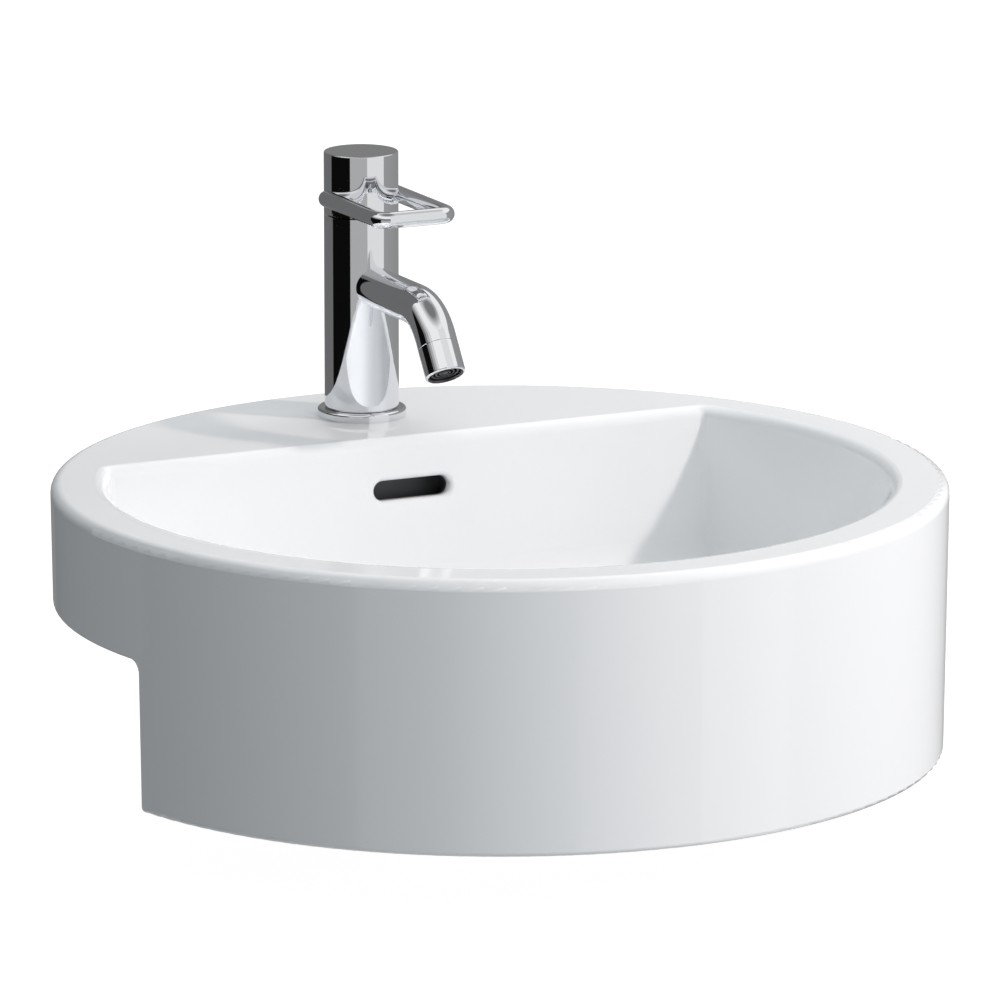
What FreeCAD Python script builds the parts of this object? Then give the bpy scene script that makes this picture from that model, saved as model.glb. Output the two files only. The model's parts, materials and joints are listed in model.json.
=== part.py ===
import FreeCAD, Part
import math
import os

# Semi-recessed round wash basin with a one-hole mixer tap and a push-open waste.
# Millimetres, +Z up. The user stands on the -Y side and the tap is on the +Y side.
# The origin is on the basin's vertical axis, at the lower end of the waste tail.

# ---------------------------------------------------------------- basin
basin_diameter = 460.0
basin_height = 140.0
tail_below_basin = 35.0        # how far the waste tail hangs below the skirt
side_draft = 1.9               # radius lost by the outer side from rim to skirt edge
rim_outer_round = 5.5
skirt_edge_round = 2.5
rim_width = 28.0
china_thickness = 10.0
deck_thickness = 14.0

bowl_depth = 92.0
bowl_side_slope = 0.25         # radius lost per millimetre of depth
bowl_back_shift = 0.37         # how far the wall's centre moves back per millimetre of depth
bowl_back_draft_deg = 5.4
bowl_floor_round = 24.0
bowl_outer_round = 42.0        # the same round on the china's outside
bowl_corner_round = 3.5
bowl_rim_round = 6.0
floor_fall = 5.0               # extra depth of the floor at the waste
floor_dish_inset = 46.0        # flat stretch between the bowl's upper edge and the dished floor
ledge_depth = 60.9             # from the tap's axis forward to the ledge's straight front edge

seat_depth = 62.4              # height of the rear overhang that rests on the worktop
seat_ledge_width = 17.0
seat_ledge_thickness = 8.0
step_y = -48.5                 # rear face of the full-depth front part
step_inner_round = 6.5
step_edge_round = 3.0
step_outer_round = 1.5         # on the outer side's edge along the overhang and the step

# ---------------------------------------------------------------- overflow
slot_width = 43.5
slot_height = 10.4
slot_depth = 27.4              # centre of the slot below the rim
slot_edge_round = 2.8
duct_width = 49.0
duct_passage = 12.0
duct_front_wall = 8.0
duct_wall = 8.0
duct_top_above_slot = 6.0
channel_width = 34.0
channel_roof = 13.0            # china left between the bowl floor and the channel

# ---------------------------------------------------------------- waste
waste_hole_radius = 23.0
waste_rebate_radius = 33.5
waste_rebate_depth = 3.5
boss_radius = 38.0
boss_depth = 32.0
annulus_radius = 28.0
tail_radius = 20.95            # outside of a G 1 1/4 thread
tail_bore_radius = 18.0
waste_flange_radius = 32.5
tail_free_length = 28.0        # threaded stretch below the back nut
tail_groove_width = 1.5
tail_groove_depth = 0.8
flange_edge_round = 1.0
flange_seal_thickness = 0.8
flange_seal_inset = 1.0        # inside both edges of the flange's seat
waste_seat_radius = 29.0
waste_seat_fall = 4.5
boss_seal_thickness = 4.0
boss_seal_radius = 34.0
slip_washer_thickness = 1.5
back_nut_height = 10.5
back_nut_flats = 56.0
overflow_windows = 4
overflow_window_width = 14.0
overflow_window_inset = 1.5
spider_height = 6.0
spider_below_seat = 31.0
spider_hub_radius = 8.5
spider_spokes = 3
spoke_width = 4.0
first_spoke_deg = 90.0
first_window_deg = 45.0
push_barrel_radius = 5.0
push_barrel_length = 30.0
push_barrel_floor = 2.0
push_collar_radius = 7.5
push_collar_height = 2.0
stem_radius = 2.9
stem_length = 30.0
spring_wall = 0.8
plug_radius = 31.0
plug_edge_height = 2.2
plug_dome = 1.4
plug_edge_round = 0.8
plug_gap = 0.4                 # plug's edge above the flange when shut
plug_boss_radius = 5.5
plug_boss_height = 7.5
plug_seal_inner_radius = 24.5
plug_seal_outer_radius = 28.5
plug_seal_gap = 0.3
plug_seal_groove = 1.0

# ---------------------------------------------------------------- tap, outside
tap_from_rear = 61.6           # tap axis in front of the basin's rearmost point
tap_hole_radius = 17.5
column_radius = 19.65
column_height = 108.2          # top of the column above the tap ledge
column_foot_round = 1.0
tap_flange_radius = 23.5
tap_flange_height = 4.7
tap_flange_round = 1.5
head_gap = 0.8
head_height = 32.6
head_top_round = 0.7

spout_below_cartridge = 12.2   # spout's axis below the cartridge's seat
spout_radius = 10.7
spout_bore_radius = 7.6
spout_straight = 66.5          # from the column's axis to the start of the bend
spout_bend_radius = 30.0
spout_bend_deg = 55.4
spout_end_straight = 22.0      # from the end of the bend to the mouth
spout_socket_y = -14.0
spout_chamber_y = -10.0

sleeve_length = 16.6
sleeve_seam = 0.4
sleeve_mouth_round = 0.8
sleeve_mouth_radius = 9.5
sleeve_spigot_radius = 8.8
sleeve_spigot_length = 4.2
sleeve_bore_radius = 7.2
aerator_washer_thickness = 1.0
aerator_recess = 1.0
aerator_insert_length = 10.0
aerator_screen_thickness = 0.5
aerator_ring_wall = 0.8
aerator_ring_depth = 3.0
aerator_rings = 4
aerator_ring_setback = 0.5
aerator_spoke_setback = 1.5
aerator_hub_radius = 1.5
aerator_spokes = 6
aerator_plate_thickness = 1.2
aerator_hole_radius = 0.8
aerator_hole_rows = [(3.8, 6), (7.1, 12)]    # radius and number of holes

bow_bar_radius = 4.4
bow_half_width = 19.8          # side bar's centre from the tap's axis
bow_reach = 67.7               # front bar's centre in front of the tap's axis
bow_corner_radius = 6.4
bow_above_joint = 8.5          # bars' axis above the head's lower edge

# ---------------------------------------------------------------- tap, inside
column_spigot_radius = 17.0
column_spigot_depth = 6.0
inlet_x = 7.5
inlet_y = -3.5
inlet_port_radius = 4.5
inlet_port_depth = 14.0
port_radius = 2.8
outlet_y = 6.0
outlet_passage_radius = 3.0
flange_gasket_inner_radius = 18.2
flange_gasket_outer_radius = 21.8
flange_gasket_thickness = 1.2

cartridge_depth = 24.2         # cartridge's seat below the column's top
cartridge_bore_radius = 17.6
case_radius = 17.4
case_inner_radius = 15.4
case_floor = 3.0
case_height = 20.0
port_seal_outer = 1.9          # beyond the bore it seals
port_seal_inner = 0.4
port_seal_thickness = 1.0
fixed_disc_thickness = 4.0
moving_disc_radius = 11.2
moving_disc_thickness = 3.0
mixing_pocket_depth = 1.6
mixing_pocket_half_width = 8.5
mixing_pocket_front = 2.0
mixing_pocket_rear = 4.8
carrier_thickness = 4.5
carrier_key_half_width = 5.0
carrier_key_half_length = 4.5
carrier_key_height = 5.5
ball_pocket_depth = 1.55       # below the carrier's upper face
ball_pocket_play = 0.35
turret_flange_radius = 15.0
turret_flange_thickness = 3.0
turret_neck_radius = 12.5
turret_neck_height = 7.0
turret_window_front = 10.5
turret_window_rear = 6.5
ring_nut_height = 3.5
ring_nut_inner_radius = 13.0
glide_ring_outer_radius = 15.2
glide_ring_inner_radius = 12.9

hinge_y = 8.6                  # lift axis behind the tap's axis
hinge_above_neck = 3.4         # lift axis above the turret's neck
hinge_pin_radius = 1.25
ear_radius = 2.8
ear_thickness = 2.6
lever_half_width = 3.2
lever_side_play = 0.1
lever_barrel_radius = 2.5
lever_shank_radius = 1.5
lever_ball_radius = 2.2
lever_ball_above_carrier = 0.95
lever_post_half = 5.0
lever_arm_below_hinge = 2.2
lever_arm_above_hinge = 2.0
lever_post_top_gap = 1.6
lift_deg = 20.0                # handle's full lift
lift_gap = 0.3                 # kept above the column at full lift

head_wall = 2.25
head_roof = 3.2
socket_wall = 2.5
socket_rear_wall = 4.0
socket_height = 17.4
lug_inner_x = 13.2
lug_front_y = -14.0
lug_rear_y = 5.5
lug_half_height = 5.3
bow_screw_y = -5.0
bow_screw_radius = 1.5
bow_screw_head_radius = 2.6
bow_screw_head_height = 1.6
bow_screw_length = 6.2
head_screw_below_top = 13.6
head_screw_radius = 2.5
head_screw_length = 5.0
cover_radius = 2.7

stud_y = 9.5
stud_radius = 4.0
stud_in_column = 9.5
stud_below_deck = 60.0
horseshoe_radius = 24.0
horseshoe_slot_half = 15.0
horseshoe_slot_rear = 3.0
horseshoe_gasket_thickness = 3.0
horseshoe_plate_thickness = 2.5
stud_nut_flats = 13.0
stud_nut_height = 6.5

# ---------------------------------------------------------------- clearances
fit_clearance = 0.1
running_clearance = 0.05
slide_clearance = 0.3
over_cut = 5.0                 # how far a cutting tool runs past a face
join_overlap = 1.0             # how far pieces of one solid reach into each other
near_enough = 0.01             # when picking edges by their place

# ---------------------------------------------------------------- worked out
rim_z = tail_below_basin + basin_height
skirt_z = tail_below_basin
seat_z = rim_z - seat_depth
outer_radius = basin_diameter / 2
tap_y = outer_radius - tap_from_rear
ledge_front_y = tap_y - ledge_depth
bowl_radius = outer_radius - rim_width
floor_z = rim_z - bowl_depth
waste_z = floor_z - floor_fall
rebate_z = waste_z - waste_rebate_depth
boss_z = waste_z - boss_depth
channel_top_z = floor_z - channel_roof
channel_low_z = channel_top_z - duct_passage
seat_plane_z = rebate_z + flange_seal_thickness
nut_top_z = boss_z - boss_seal_thickness - slip_washer_thickness
spider_low_z = seat_plane_z - spider_below_seat
spider_top_z = spider_low_z + spider_height
barrel_low_z = spider_top_z + push_collar_height - push_barrel_length / 2
plug_low_z = waste_z + plug_gap
stem_low_z = plug_low_z - stem_length
head_low = column_height + head_gap
head_top = head_low + head_height
head_roof_low = head_top - head_roof
bow_height = head_low + bow_above_joint
head_screw_height = head_top - head_screw_below_top
head_inner_radius = column_radius - head_wall
cartridge_seat = column_height - cartridge_depth
spout_height = cartridge_seat - spout_below_cartridge
case_top = cartridge_seat + case_height
fixed_disc_low = cartridge_seat + case_floor
moving_disc_low = fixed_disc_low + fixed_disc_thickness + running_clearance
carrier_low = moving_disc_low + moving_disc_thickness
carrier_top = carrier_low + carrier_thickness
turret_low = carrier_top + running_clearance
turret_neck_low = turret_low + turret_flange_thickness
turret_neck_top = turret_neck_low + turret_neck_height
hinge_height = turret_neck_top + hinge_above_neck
lever_ball_height = carrier_top + lever_ball_above_carrier
lever_arm_top = hinge_height + lever_arm_above_hinge
lever_post_top = head_roof_low - lever_post_top_gap

V = FreeCAD.Vector
ALONG_X = V(1, 0, 0)
ALONG_Y = V(0, 1, 0)
UP = V(0, 0, 1)


# ---------------------------------------------------------------- shape helpers
def cylinder(radius, low, high, x=0.0, y=0.0):
    return Part.makeCylinder(radius, high - low, V(x, y, low), UP)


def ring(outer, inner, low, high, x=0.0, y=0.0):
    return cylinder(outer, low, high, x, y).cut(cylinder(inner, low, high, x, y))


def block(x_low, x_high, y_low, y_high, z_low, z_high):
    return Part.makeBox(x_high - x_low, y_high - y_low, z_high - z_low, V(x_low, y_low, z_low))


def rod_x(radius, x_low, x_high, y, z):
    return Part.makeCylinder(radius, x_high - x_low, V(x_low, y, z), ALONG_X)


def rod_y(radius, y_low, y_high, x, z):
    return Part.makeCylinder(radius, y_high - y_low, V(x, y_low, z), ALONG_Y)


def hexagon(flats, low, high, x=0.0, y=0.0):
    corner = flats / 2 / math.cos(math.radians(30))
    points = [V(x + corner * math.cos(math.radians(60 * k)), y + corner * math.sin(math.radians(60 * k)), low)
              for k in range(6)]
    wire = Part.makePolygon(points + points[:1])
    return Part.Face(wire).extrude(V(0, 0, high - low))


def outline(points, rounds, place):
    """Closed wire through 2-D points. rounds maps a corner's index to its radius."""
    starts, ends, arcs = [], [], []
    for i, corner in enumerate(points):
        radius = rounds.get(i, 0.0)
        here = V(corner[0], corner[1], 0)
        if radius == 0.0:
            starts.append(here)
            ends.append(here)
            arcs.append(None)
            continue
        before = V(*points[i - 1], 0) - here
        after = V(*points[(i + 1) % len(points)], 0) - here
        before.normalize()
        after.normalize()
        half = before.getAngle(after) / 2
        inward = before + after
        inward.normalize()
        starts.append(here + before * (radius / math.tan(half)))
        ends.append(here + after * (radius / math.tan(half)))
        arcs.append(here + inward * (radius / math.sin(half) - radius))
    edges = []
    for i in range(len(points)):
        if arcs[i] is not None:
            a, b, c = starts[i], arcs[i], ends[i]
            edges.append(Part.Arc(place(a.x, a.y), place(b.x, b.y), place(c.x, c.y)).toShape())
        here, there = ends[i], starts[(i + 1) % len(points)]
        if (here - there).Length > 1e-6:
            edges.append(Part.LineSegment(place(here.x, here.y), place(there.x, there.y)).toShape())
    return Part.Wire(edges)


def turned(points, rounds=None):
    """Solid of revolution about Z from (radius, height) points."""
    wire = outline(points, rounds or {}, lambda r, z: V(r, 0, z))
    return Part.Face(wire).revolve(V(0, 0, 0), UP, 360)


def prism_x(points, rounds, x_low, x_high):
    """Solid with a (y, z) outline, drawn out along X."""
    wire = outline(points, rounds, lambda y, z: V(x_low, y, z))
    return Part.Face(wire).extrude(V(x_high - x_low, 0, 0))


def fused(shapes):
    return shapes[0].multiFuse(shapes[1:]).removeSplitter()


def edges_where(shape, test):
    return [edge for edge in shape.Edges if test(edge)]


# ---------------------------------------------------------------- basin
def bowl_section(depth, inset, grow):
    """Plan of the bowl at one depth: a round wall cut off by the straight ledge, corners rounded."""
    height = rim_z - depth
    middle = V(0, bowl_back_shift * depth, 0)
    radius = bowl_radius - bowl_side_slope * depth - inset + grow
    ledge = back_wall_y(depth) - inset + grow
    corner = bowl_corner_round + grow
    reach = ledge - corner - middle.y
    centre = V(math.sqrt((radius - corner) ** 2 - reach ** 2), ledge - corner, 0)
    turn = math.atan2(reach, centre.x)

    def arc(side, about, r, start, end):
        angles = [start, (start + end) / 2, end]
        points = [V(side * (about.x + r * math.cos(t)), about.y + r * math.sin(t), height) for t in angles]
        return points if side > 0 else points[::-1]

    corner_right, corner_left = [arc(side, centre, corner, math.pi / 2, turn) for side in (1, -1)]
    wall_right, wall_left = [arc(side, middle, radius, turn, -math.pi / 2) for side in (1, -1)]
    edges = [Part.LineSegment(corner_left[-1], corner_right[0]).toShape()]
    edges += [Part.Arc(*points).toShape() for points in (corner_right, wall_right, wall_left, corner_left)]
    return Part.Wire(edges)


def back_wall_y(depth):
    return ledge_front_y - depth * math.tan(math.radians(bowl_back_draft_deg))


def bowl_solid(grow, depth, floor_round, top):
    """The bowl's space, or with grow the outside of its china: sloping walls and a rounded floor."""
    start = depth - floor_round
    steps = 6
    angles = [math.pi / 2 * k / steps for k in range(steps + 1)]
    floor = [bowl_section(start + floor_round * math.sin(a), floor_round * (1 - math.cos(a)), grow)
             for a in angles]
    walls = Part.makeLoft([bowl_section(rim_z - top, 0.0, grow), floor[0]], True, True)
    bottom = Part.makeLoft(floor, True, False)
    return walls.fuse(bottom)


def step_tool():
    """Everything behind the full-depth front and below the rear overhang."""
    far = outer_radius + over_cut
    points = [(step_y, seat_z), (far, seat_z), (far, skirt_z - over_cut),
              (step_y - step_edge_round, skirt_z - over_cut), (step_y - step_edge_round, skirt_z)]
    tool = prism_x(points + [(step_y, skirt_z)], {0: step_inner_round}, -far, far)
    corner = block(-far, far, step_y - step_edge_round, step_y, skirt_z, skirt_z + step_edge_round)
    round_off = rod_x(step_edge_round, -far, far, step_y - step_edge_round, skirt_z + step_edge_round)
    return tool.fuse(corner.cut(round_off))


def hollow_below():
    """Space under the deck, open below, between the outer side and the bowl."""
    inner = outer_radius - china_thickness
    ledge = outer_radius - seat_ledge_width
    top = rim_z - deck_thickness
    front_limit = step_y - china_thickness
    ledge_top = seat_z + seat_ledge_thickness
    bevel_top = ledge_top + inner - ledge
    below = skirt_z - over_cut
    rear = turned([(0, seat_z - over_cut), (ledge, seat_z - over_cut), (ledge, ledge_top),
                   (inner, bevel_top), (inner, top), (0, top)])
    rear = rear.cut(block(-inner, inner, -inner, front_limit, below, top))
    rear = rear.cut(block(-inner, inner, -inner, step_y, below, seat_z))
    front = cylinder(inner, below, top).common(block(-inner, inner, -inner, front_limit, below, top))
    return front.fuse(rear)


def tilted_behind_wall(x_half, near, far, low, high):
    """Block behind the bowl's rear wall, leaning with its draft. near and far run from the wall's face."""
    shape = block(-x_half, x_half, ledge_front_y + near, ledge_front_y + far, low, high)
    shape.rotate(V(0, ledge_front_y, rim_z), ALONG_X, -bowl_back_draft_deg)
    return shape


def overflow_duct(wall):
    """Passage from the slot to the waste, or with wall the china around it."""
    top = rim_z - slot_depth + slot_height / 2 + duct_top_above_slot
    upright = tilted_behind_wall(duct_width / 2 + wall, duct_front_wall - wall,
                                 duct_front_wall + duct_passage + wall, channel_low_z - wall, top + wall)
    rear_y = back_wall_y(bowl_depth) + duct_front_wall
    run = block(-channel_width / 2 - wall, channel_width / 2 + wall, 0, rear_y + wall,
                channel_low_z - wall, channel_top_z + wall)
    below = block(-basin_diameter, basin_diameter, -basin_diameter, basin_diameter,
                  skirt_z - basin_height, channel_low_z - wall)
    return upright.fuse(run).cut(below)


def overflow_slot():
    half = slot_width / 2 - slot_height / 2
    z = rim_z - slot_depth
    reach = duct_front_wall + duct_passage / 2
    y_low = back_wall_y(bowl_depth)
    shape = block(-half, half, y_low, ledge_front_y + reach, z - slot_height / 2, z + slot_height / 2)
    ends = [rod_y(slot_height / 2, y_low, ledge_front_y + reach, side * half, z) for side in (-1, 1)]
    shape = shape.multiFuse(ends).removeSplitter()
    shape.rotate(V(0, ledge_front_y, z), ALONG_X, -bowl_back_draft_deg)
    return shape


def basin_body():
    low_radius = outer_radius - side_draft
    shape = turned([(0, skirt_z), (low_radius, skirt_z), (outer_radius, rim_z), (0, rim_z)],
                   {1: skirt_edge_round, 2: rim_outer_round})
    shape.rotate(V(0, 0, 0), UP, -90)     # the turned side's seam lies at the front, clear of the step
    shape = shape.cut(step_tool())
    shape = shape.makeFillet(step_outer_round, edges_where(shape, is_step_outline)).cut(hollow_below())
    core = bowl_solid(china_thickness, bowl_depth + china_thickness, bowl_outer_round,
                      rim_z - deck_thickness / 2)
    boss = cylinder(boss_radius, boss_z, floor_z)
    shape = shape.multiFuse([core, boss, overflow_duct(duct_wall)])
    floor_dish = turned([(0, waste_z), (waste_rebate_radius, waste_z),
                         (bowl_radius - floor_dish_inset, floor_z), (0, floor_z)])
    floor_dish = floor_dish.common(bowl_solid(0.0, bowl_depth + floor_fall, bowl_floor_round, rim_z))
    tools = [bowl_solid(0.0, bowl_depth, bowl_floor_round, rim_z + over_cut), floor_dish,
             overflow_duct(0.0), overflow_slot(),
             cylinder(waste_hole_radius, boss_z - over_cut, floor_z),
             cylinder(waste_rebate_radius, rebate_z, floor_z),
             cylinder(annulus_radius, channel_low_z - running_clearance, channel_top_z),
             cylinder(tap_hole_radius, rim_z - deck_thickness - over_cut, rim_z + over_cut, 0, tap_y)]
    for tool in tools:
        shape = shape.cut(tool)
    shape = shape.makeFillet(bowl_rim_round, edges_where(shape, is_bowl_rim))
    return shape.makeFillet(slot_edge_round, edges_where(shape, is_slot_mouth))


def middle_of(edge):
    return edge.valueAt((edge.FirstParameter + edge.LastParameter) / 2)


def is_step_outline(edge):
    """Edges where the seat, the step's rear face and the round between them meet the outer side."""
    point = middle_of(edge)
    on_side = math.hypot(point.x, point.y) > outer_radius - side_draft
    behind = point.y > step_y - near_enough
    return on_side and behind and skirt_z + step_edge_round < point.z < seat_z + near_enough


def is_bowl_rim(edge):
    point = middle_of(edge)
    flat = edge.BoundBox.ZMin > rim_z - near_enough
    inside = math.hypot(point.x, point.y) < bowl_radius + near_enough
    return flat and inside and point.y < ledge_front_y + near_enough


def is_slot_mouth(edge):
    """The slot's outline on the bowl's wall: every point of it lies on the sloping wall's face."""
    places = [edge.valueAt(edge.FirstParameter + (edge.LastParameter - edge.FirstParameter) * t)
              for t in (0, 0.5, 1)]
    on_wall = all(abs(point.y - back_wall_y(rim_z - point.z)) < near_enough for point in places)
    level = abs(places[1].z - rim_z + slot_depth) < slot_height / 2 + slot_edge_round
    return on_wall and level and abs(places[1].x) < slot_width / 2 + slot_edge_round


# ---------------------------------------------------------------- waste
def seat_cone_z(radius):
    return waste_z - waste_seat_fall * (waste_seat_radius - radius) / (waste_seat_radius - tail_bore_radius)


def waste_flange():
    groove = tail_radius - tail_groove_depth
    groove_top = tail_free_length + tail_groove_width
    shape = turned([(tail_bore_radius, 0), (tail_radius, 0), (tail_radius, tail_free_length),
                    (groove, tail_free_length), (groove, groove_top), (tail_radius, groove_top),
                    (tail_radius, seat_plane_z),
                    (waste_flange_radius, seat_plane_z), (waste_flange_radius, waste_z),
                    (waste_seat_radius, waste_z), (tail_bore_radius, waste_z - waste_seat_fall)],
                   {8: flange_edge_round})
    for k in range(overflow_windows):
        window = block(0, tail_radius + over_cut, -overflow_window_width / 2, overflow_window_width / 2,
                       channel_low_z + overflow_window_inset, channel_top_z - overflow_window_inset)
        window.rotate(V(0, 0, 0), UP, first_window_deg + 360 / overflow_windows * k)
        shape = shape.cut(window)
    hub = [cylinder(spider_hub_radius, spider_low_z, spider_top_z)]
    for k in range(spider_spokes):
        spoke = block(0, tail_bore_radius + join_overlap, -spoke_width / 2, spoke_width / 2, spider_low_z,
                      spider_top_z)
        spoke.rotate(V(0, 0, 0), UP, first_spoke_deg + 360 / spider_spokes * k)
        hub.append(spoke)
    shape = shape.multiFuse(hub)
    return shape.cut(cylinder(push_barrel_radius, spider_low_z, spider_top_z)).removeSplitter()


def flange_seal():
    return ring(waste_flange_radius - flange_seal_inset, waste_hole_radius + flange_seal_inset, rebate_z,
                seat_plane_z)


def waste_boss_seal():
    return ring(boss_seal_radius, tail_radius + fit_clearance, boss_z - boss_seal_thickness, boss_z)


def waste_slip_washer():
    return ring(boss_seal_radius, tail_radius + fit_clearance, nut_top_z, nut_top_z + slip_washer_thickness)


def waste_back_nut():
    nut = hexagon(back_nut_flats, nut_top_z - back_nut_height, nut_top_z)
    return nut.cut(cylinder(tail_radius, nut_top_z - back_nut_height, nut_top_z))


def push_cartridge():
    top = barrel_low_z + push_barrel_length
    shape = cylinder(push_barrel_radius, barrel_low_z, top)
    shape = shape.fuse(cylinder(push_collar_radius, spider_top_z, spider_top_z + push_collar_height))
    return shape.cut(cylinder(stem_radius + running_clearance, barrel_low_z + push_barrel_floor, top))


def plug_spring():
    """The push spring, drawn as the tube its coils fill."""
    return ring(stem_radius - slide_clearance, stem_radius - slide_clearance - spring_wall,
                barrel_low_z + push_barrel_floor, stem_low_z)


def plug_stem():
    return cylinder(stem_radius, stem_low_z, plug_low_z)


def waste_plug():
    top = plug_low_z + plug_edge_height
    sphere_radius = (plug_radius ** 2 + plug_dome ** 2) / (2 * plug_dome)
    dome = Part.makeSphere(sphere_radius, V(0, 0, top + plug_dome - sphere_radius))
    shape = cylinder(plug_radius, plug_low_z, top + plug_dome).common(
        dome.fuse(cylinder(plug_radius, plug_low_z, top)))
    shape = shape.removeSplitter()
    rim = edges_where(shape, lambda edge: abs(edge.BoundBox.ZMin - top) < near_enough
                      and edge.BoundBox.XLength > plug_radius)
    shape = shape.makeFillet(plug_edge_round, rim)
    shape = shape.fuse(cylinder(plug_boss_radius, plug_low_z - plug_boss_height, plug_low_z))
    shape = shape.cut(ring(plug_seal_outer_radius, plug_seal_inner_radius, plug_low_z,
                           plug_low_z + plug_seal_groove))
    return shape.cut(cylinder(stem_radius, plug_low_z - plug_boss_height, plug_low_z))


def plug_seal():
    top = plug_low_z + plug_seal_groove
    low_outer = seat_cone_z(plug_seal_outer_radius) + plug_seal_gap
    low_inner = seat_cone_z(plug_seal_inner_radius) + plug_seal_gap
    return turned([(plug_seal_inner_radius, low_inner), (plug_seal_outer_radius, low_outer),
                   (plug_seal_outer_radius, top), (plug_seal_inner_radius, top)])


# ---------------------------------------------------------------- tap outside
# Tap shapes are drawn about the tap's axis with the ledge at zero height.
def tap_flange():
    shape = turned([(column_spigot_radius + fit_clearance, 0), (tap_flange_radius, 0),
                    (tap_flange_radius, tap_flange_height),
                    (column_spigot_radius + fit_clearance, tap_flange_height)], {2: tap_flange_round})
    return shape.cut(flange_gasket())


def flange_gasket():
    return ring(flange_gasket_outer_radius, flange_gasket_inner_radius, 0, flange_gasket_thickness)


def tap_body():
    shape = turned([(0, -column_spigot_depth), (column_spigot_radius, -column_spigot_depth),
                    (column_spigot_radius, tap_flange_height), (column_radius, tap_flange_height),
                    (column_radius, column_height), (cartridge_bore_radius, column_height),
                    (cartridge_bore_radius, cartridge_seat), (0, cartridge_seat)], {3: column_foot_round})
    tools = [rod_y(spout_radius, -column_radius - over_cut, spout_socket_y, 0, spout_height),
             rod_y(spout_bore_radius, spout_socket_y, spout_chamber_y, 0, spout_height),
             rod_y(outlet_passage_radius, spout_chamber_y, outlet_y, 0, spout_height),
             cylinder(port_radius, spout_height, cartridge_seat, 0, outlet_y),
             cylinder(stud_radius, -column_spigot_depth, stud_in_column, 0, stud_y)]
    for side in (-1, 1):
        tools.append(cylinder(inlet_port_radius, -column_spigot_depth,
                              inlet_port_depth - column_spigot_depth, side * inlet_x, inlet_y))
        tools.append(cylinder(port_radius, 0, cartridge_seat, side * inlet_x, inlet_y))
    for tool in tools:
        shape = shape.cut(tool)
    return shape


def bend_centre():
    return V(0, -spout_straight, spout_height - spout_bend_radius)


def spout_place(along):
    """Placement at a distance past the bend, +Z looking back up the tube."""
    bend = math.radians(spout_bend_deg)
    end = bend_centre() + V(0, -spout_bend_radius * math.sin(bend), spout_bend_radius * math.cos(bend))
    ahead = V(0, -math.cos(bend), -math.sin(bend))
    return FreeCAD.Placement(end + ahead * along, FreeCAD.Rotation(ALONG_X, spout_bend_deg - 90))


def spout_run(radius, start_y, end_length):
    straight = rod_y(radius, -spout_straight, start_y, 0, spout_height)
    circle = Part.Circle(V(0, -spout_straight, spout_height), ALONG_Y, radius)
    section = Part.Face(Part.Wire(circle.toShape()))
    bend = section.revolve(bend_centre(), ALONG_X, spout_bend_deg)
    end = cylinder(radius, 0, end_length)
    end.Placement = spout_place(end_length)
    return straight.multiFuse([bend, end])


def spout():
    length = spout_end_straight - sleeve_length
    shape = spout_run(spout_radius, spout_socket_y, length)
    shape = shape.cut(spout_run(spout_bore_radius, spout_socket_y, length))
    socket = cylinder(sleeve_spigot_radius, 0, sleeve_spigot_length)
    socket.Placement = spout_place(length)
    return shape.cut(socket).removeSplitter()


def at_mouth(shape):
    """Move a shape drawn upstream from the mouth, mouth at zero height, to the spout's end."""
    shape.Placement = spout_place(spout_end_straight).multiply(shape.Placement)
    return shape


def aerator_housing():
    shoulder = aerator_recess + aerator_insert_length + aerator_screen_thickness + aerator_washer_thickness
    shape = turned([(sleeve_mouth_radius, 0), (spout_radius, 0), (spout_radius, sleeve_length - sleeve_seam),
                    (spout_radius - sleeve_seam, sleeve_length - sleeve_seam),
                    (spout_radius - sleeve_seam, sleeve_length), (sleeve_spigot_radius, sleeve_length),
                    (sleeve_spigot_radius, sleeve_length + sleeve_spigot_length),
                    (sleeve_bore_radius, sleeve_length + sleeve_spigot_length),
                    (sleeve_bore_radius, shoulder), (sleeve_mouth_radius, shoulder)],
                   {1: sleeve_mouth_round})
    return at_mouth(shape)


def aerator_insert():
    outer = sleeve_mouth_radius
    face = aerator_recess
    back = face + aerator_insert_length
    parts = [ring(outer, outer - aerator_ring_wall, face, back)]
    pitch = (outer - aerator_ring_wall) / aerator_rings
    for k in range(1, aerator_rings):
        radius = outer - k * pitch
        parts.append(ring(radius, radius - aerator_ring_wall, face + aerator_ring_setback,
                          face + aerator_ring_setback + aerator_ring_depth))
    parts.append(cylinder(aerator_hub_radius, face + aerator_ring_setback, back))
    for k in range(aerator_spokes):
        spoke = block(0, outer - aerator_ring_wall / 2, -aerator_ring_wall / 2, aerator_ring_wall / 2,
                      face + aerator_spoke_setback, face + aerator_ring_setback + aerator_ring_depth)
        spoke.rotate(V(0, 0, 0), UP, 360 / aerator_spokes * k)
        parts.append(spoke)
    parts.append(drilled_disc(outer - aerator_ring_wall / 2, back - aerator_plate_thickness, back))
    return at_mouth(fused(parts))


def drilled_disc(radius, low, high):
    holes = []
    for row, count in aerator_hole_rows:
        for k in range(count):
            angle = 2 * math.pi * k / count
            x, y = row * math.cos(angle), row * math.sin(angle)
            holes.append(cylinder(aerator_hole_radius, low, high, x, y))
    return cylinder(radius, low, high).cut(Part.makeCompound(holes))


def aerator_screen():
    low = aerator_recess + aerator_insert_length
    return at_mouth(drilled_disc(sleeve_mouth_radius - fit_clearance, low, low + aerator_screen_thickness))


def aerator_washer():
    low = aerator_recess + aerator_insert_length + aerator_screen_thickness
    return at_mouth(ring(sleeve_mouth_radius - fit_clearance, sleeve_bore_radius + fit_clearance, low,
                         low + aerator_washer_thickness))


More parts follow.
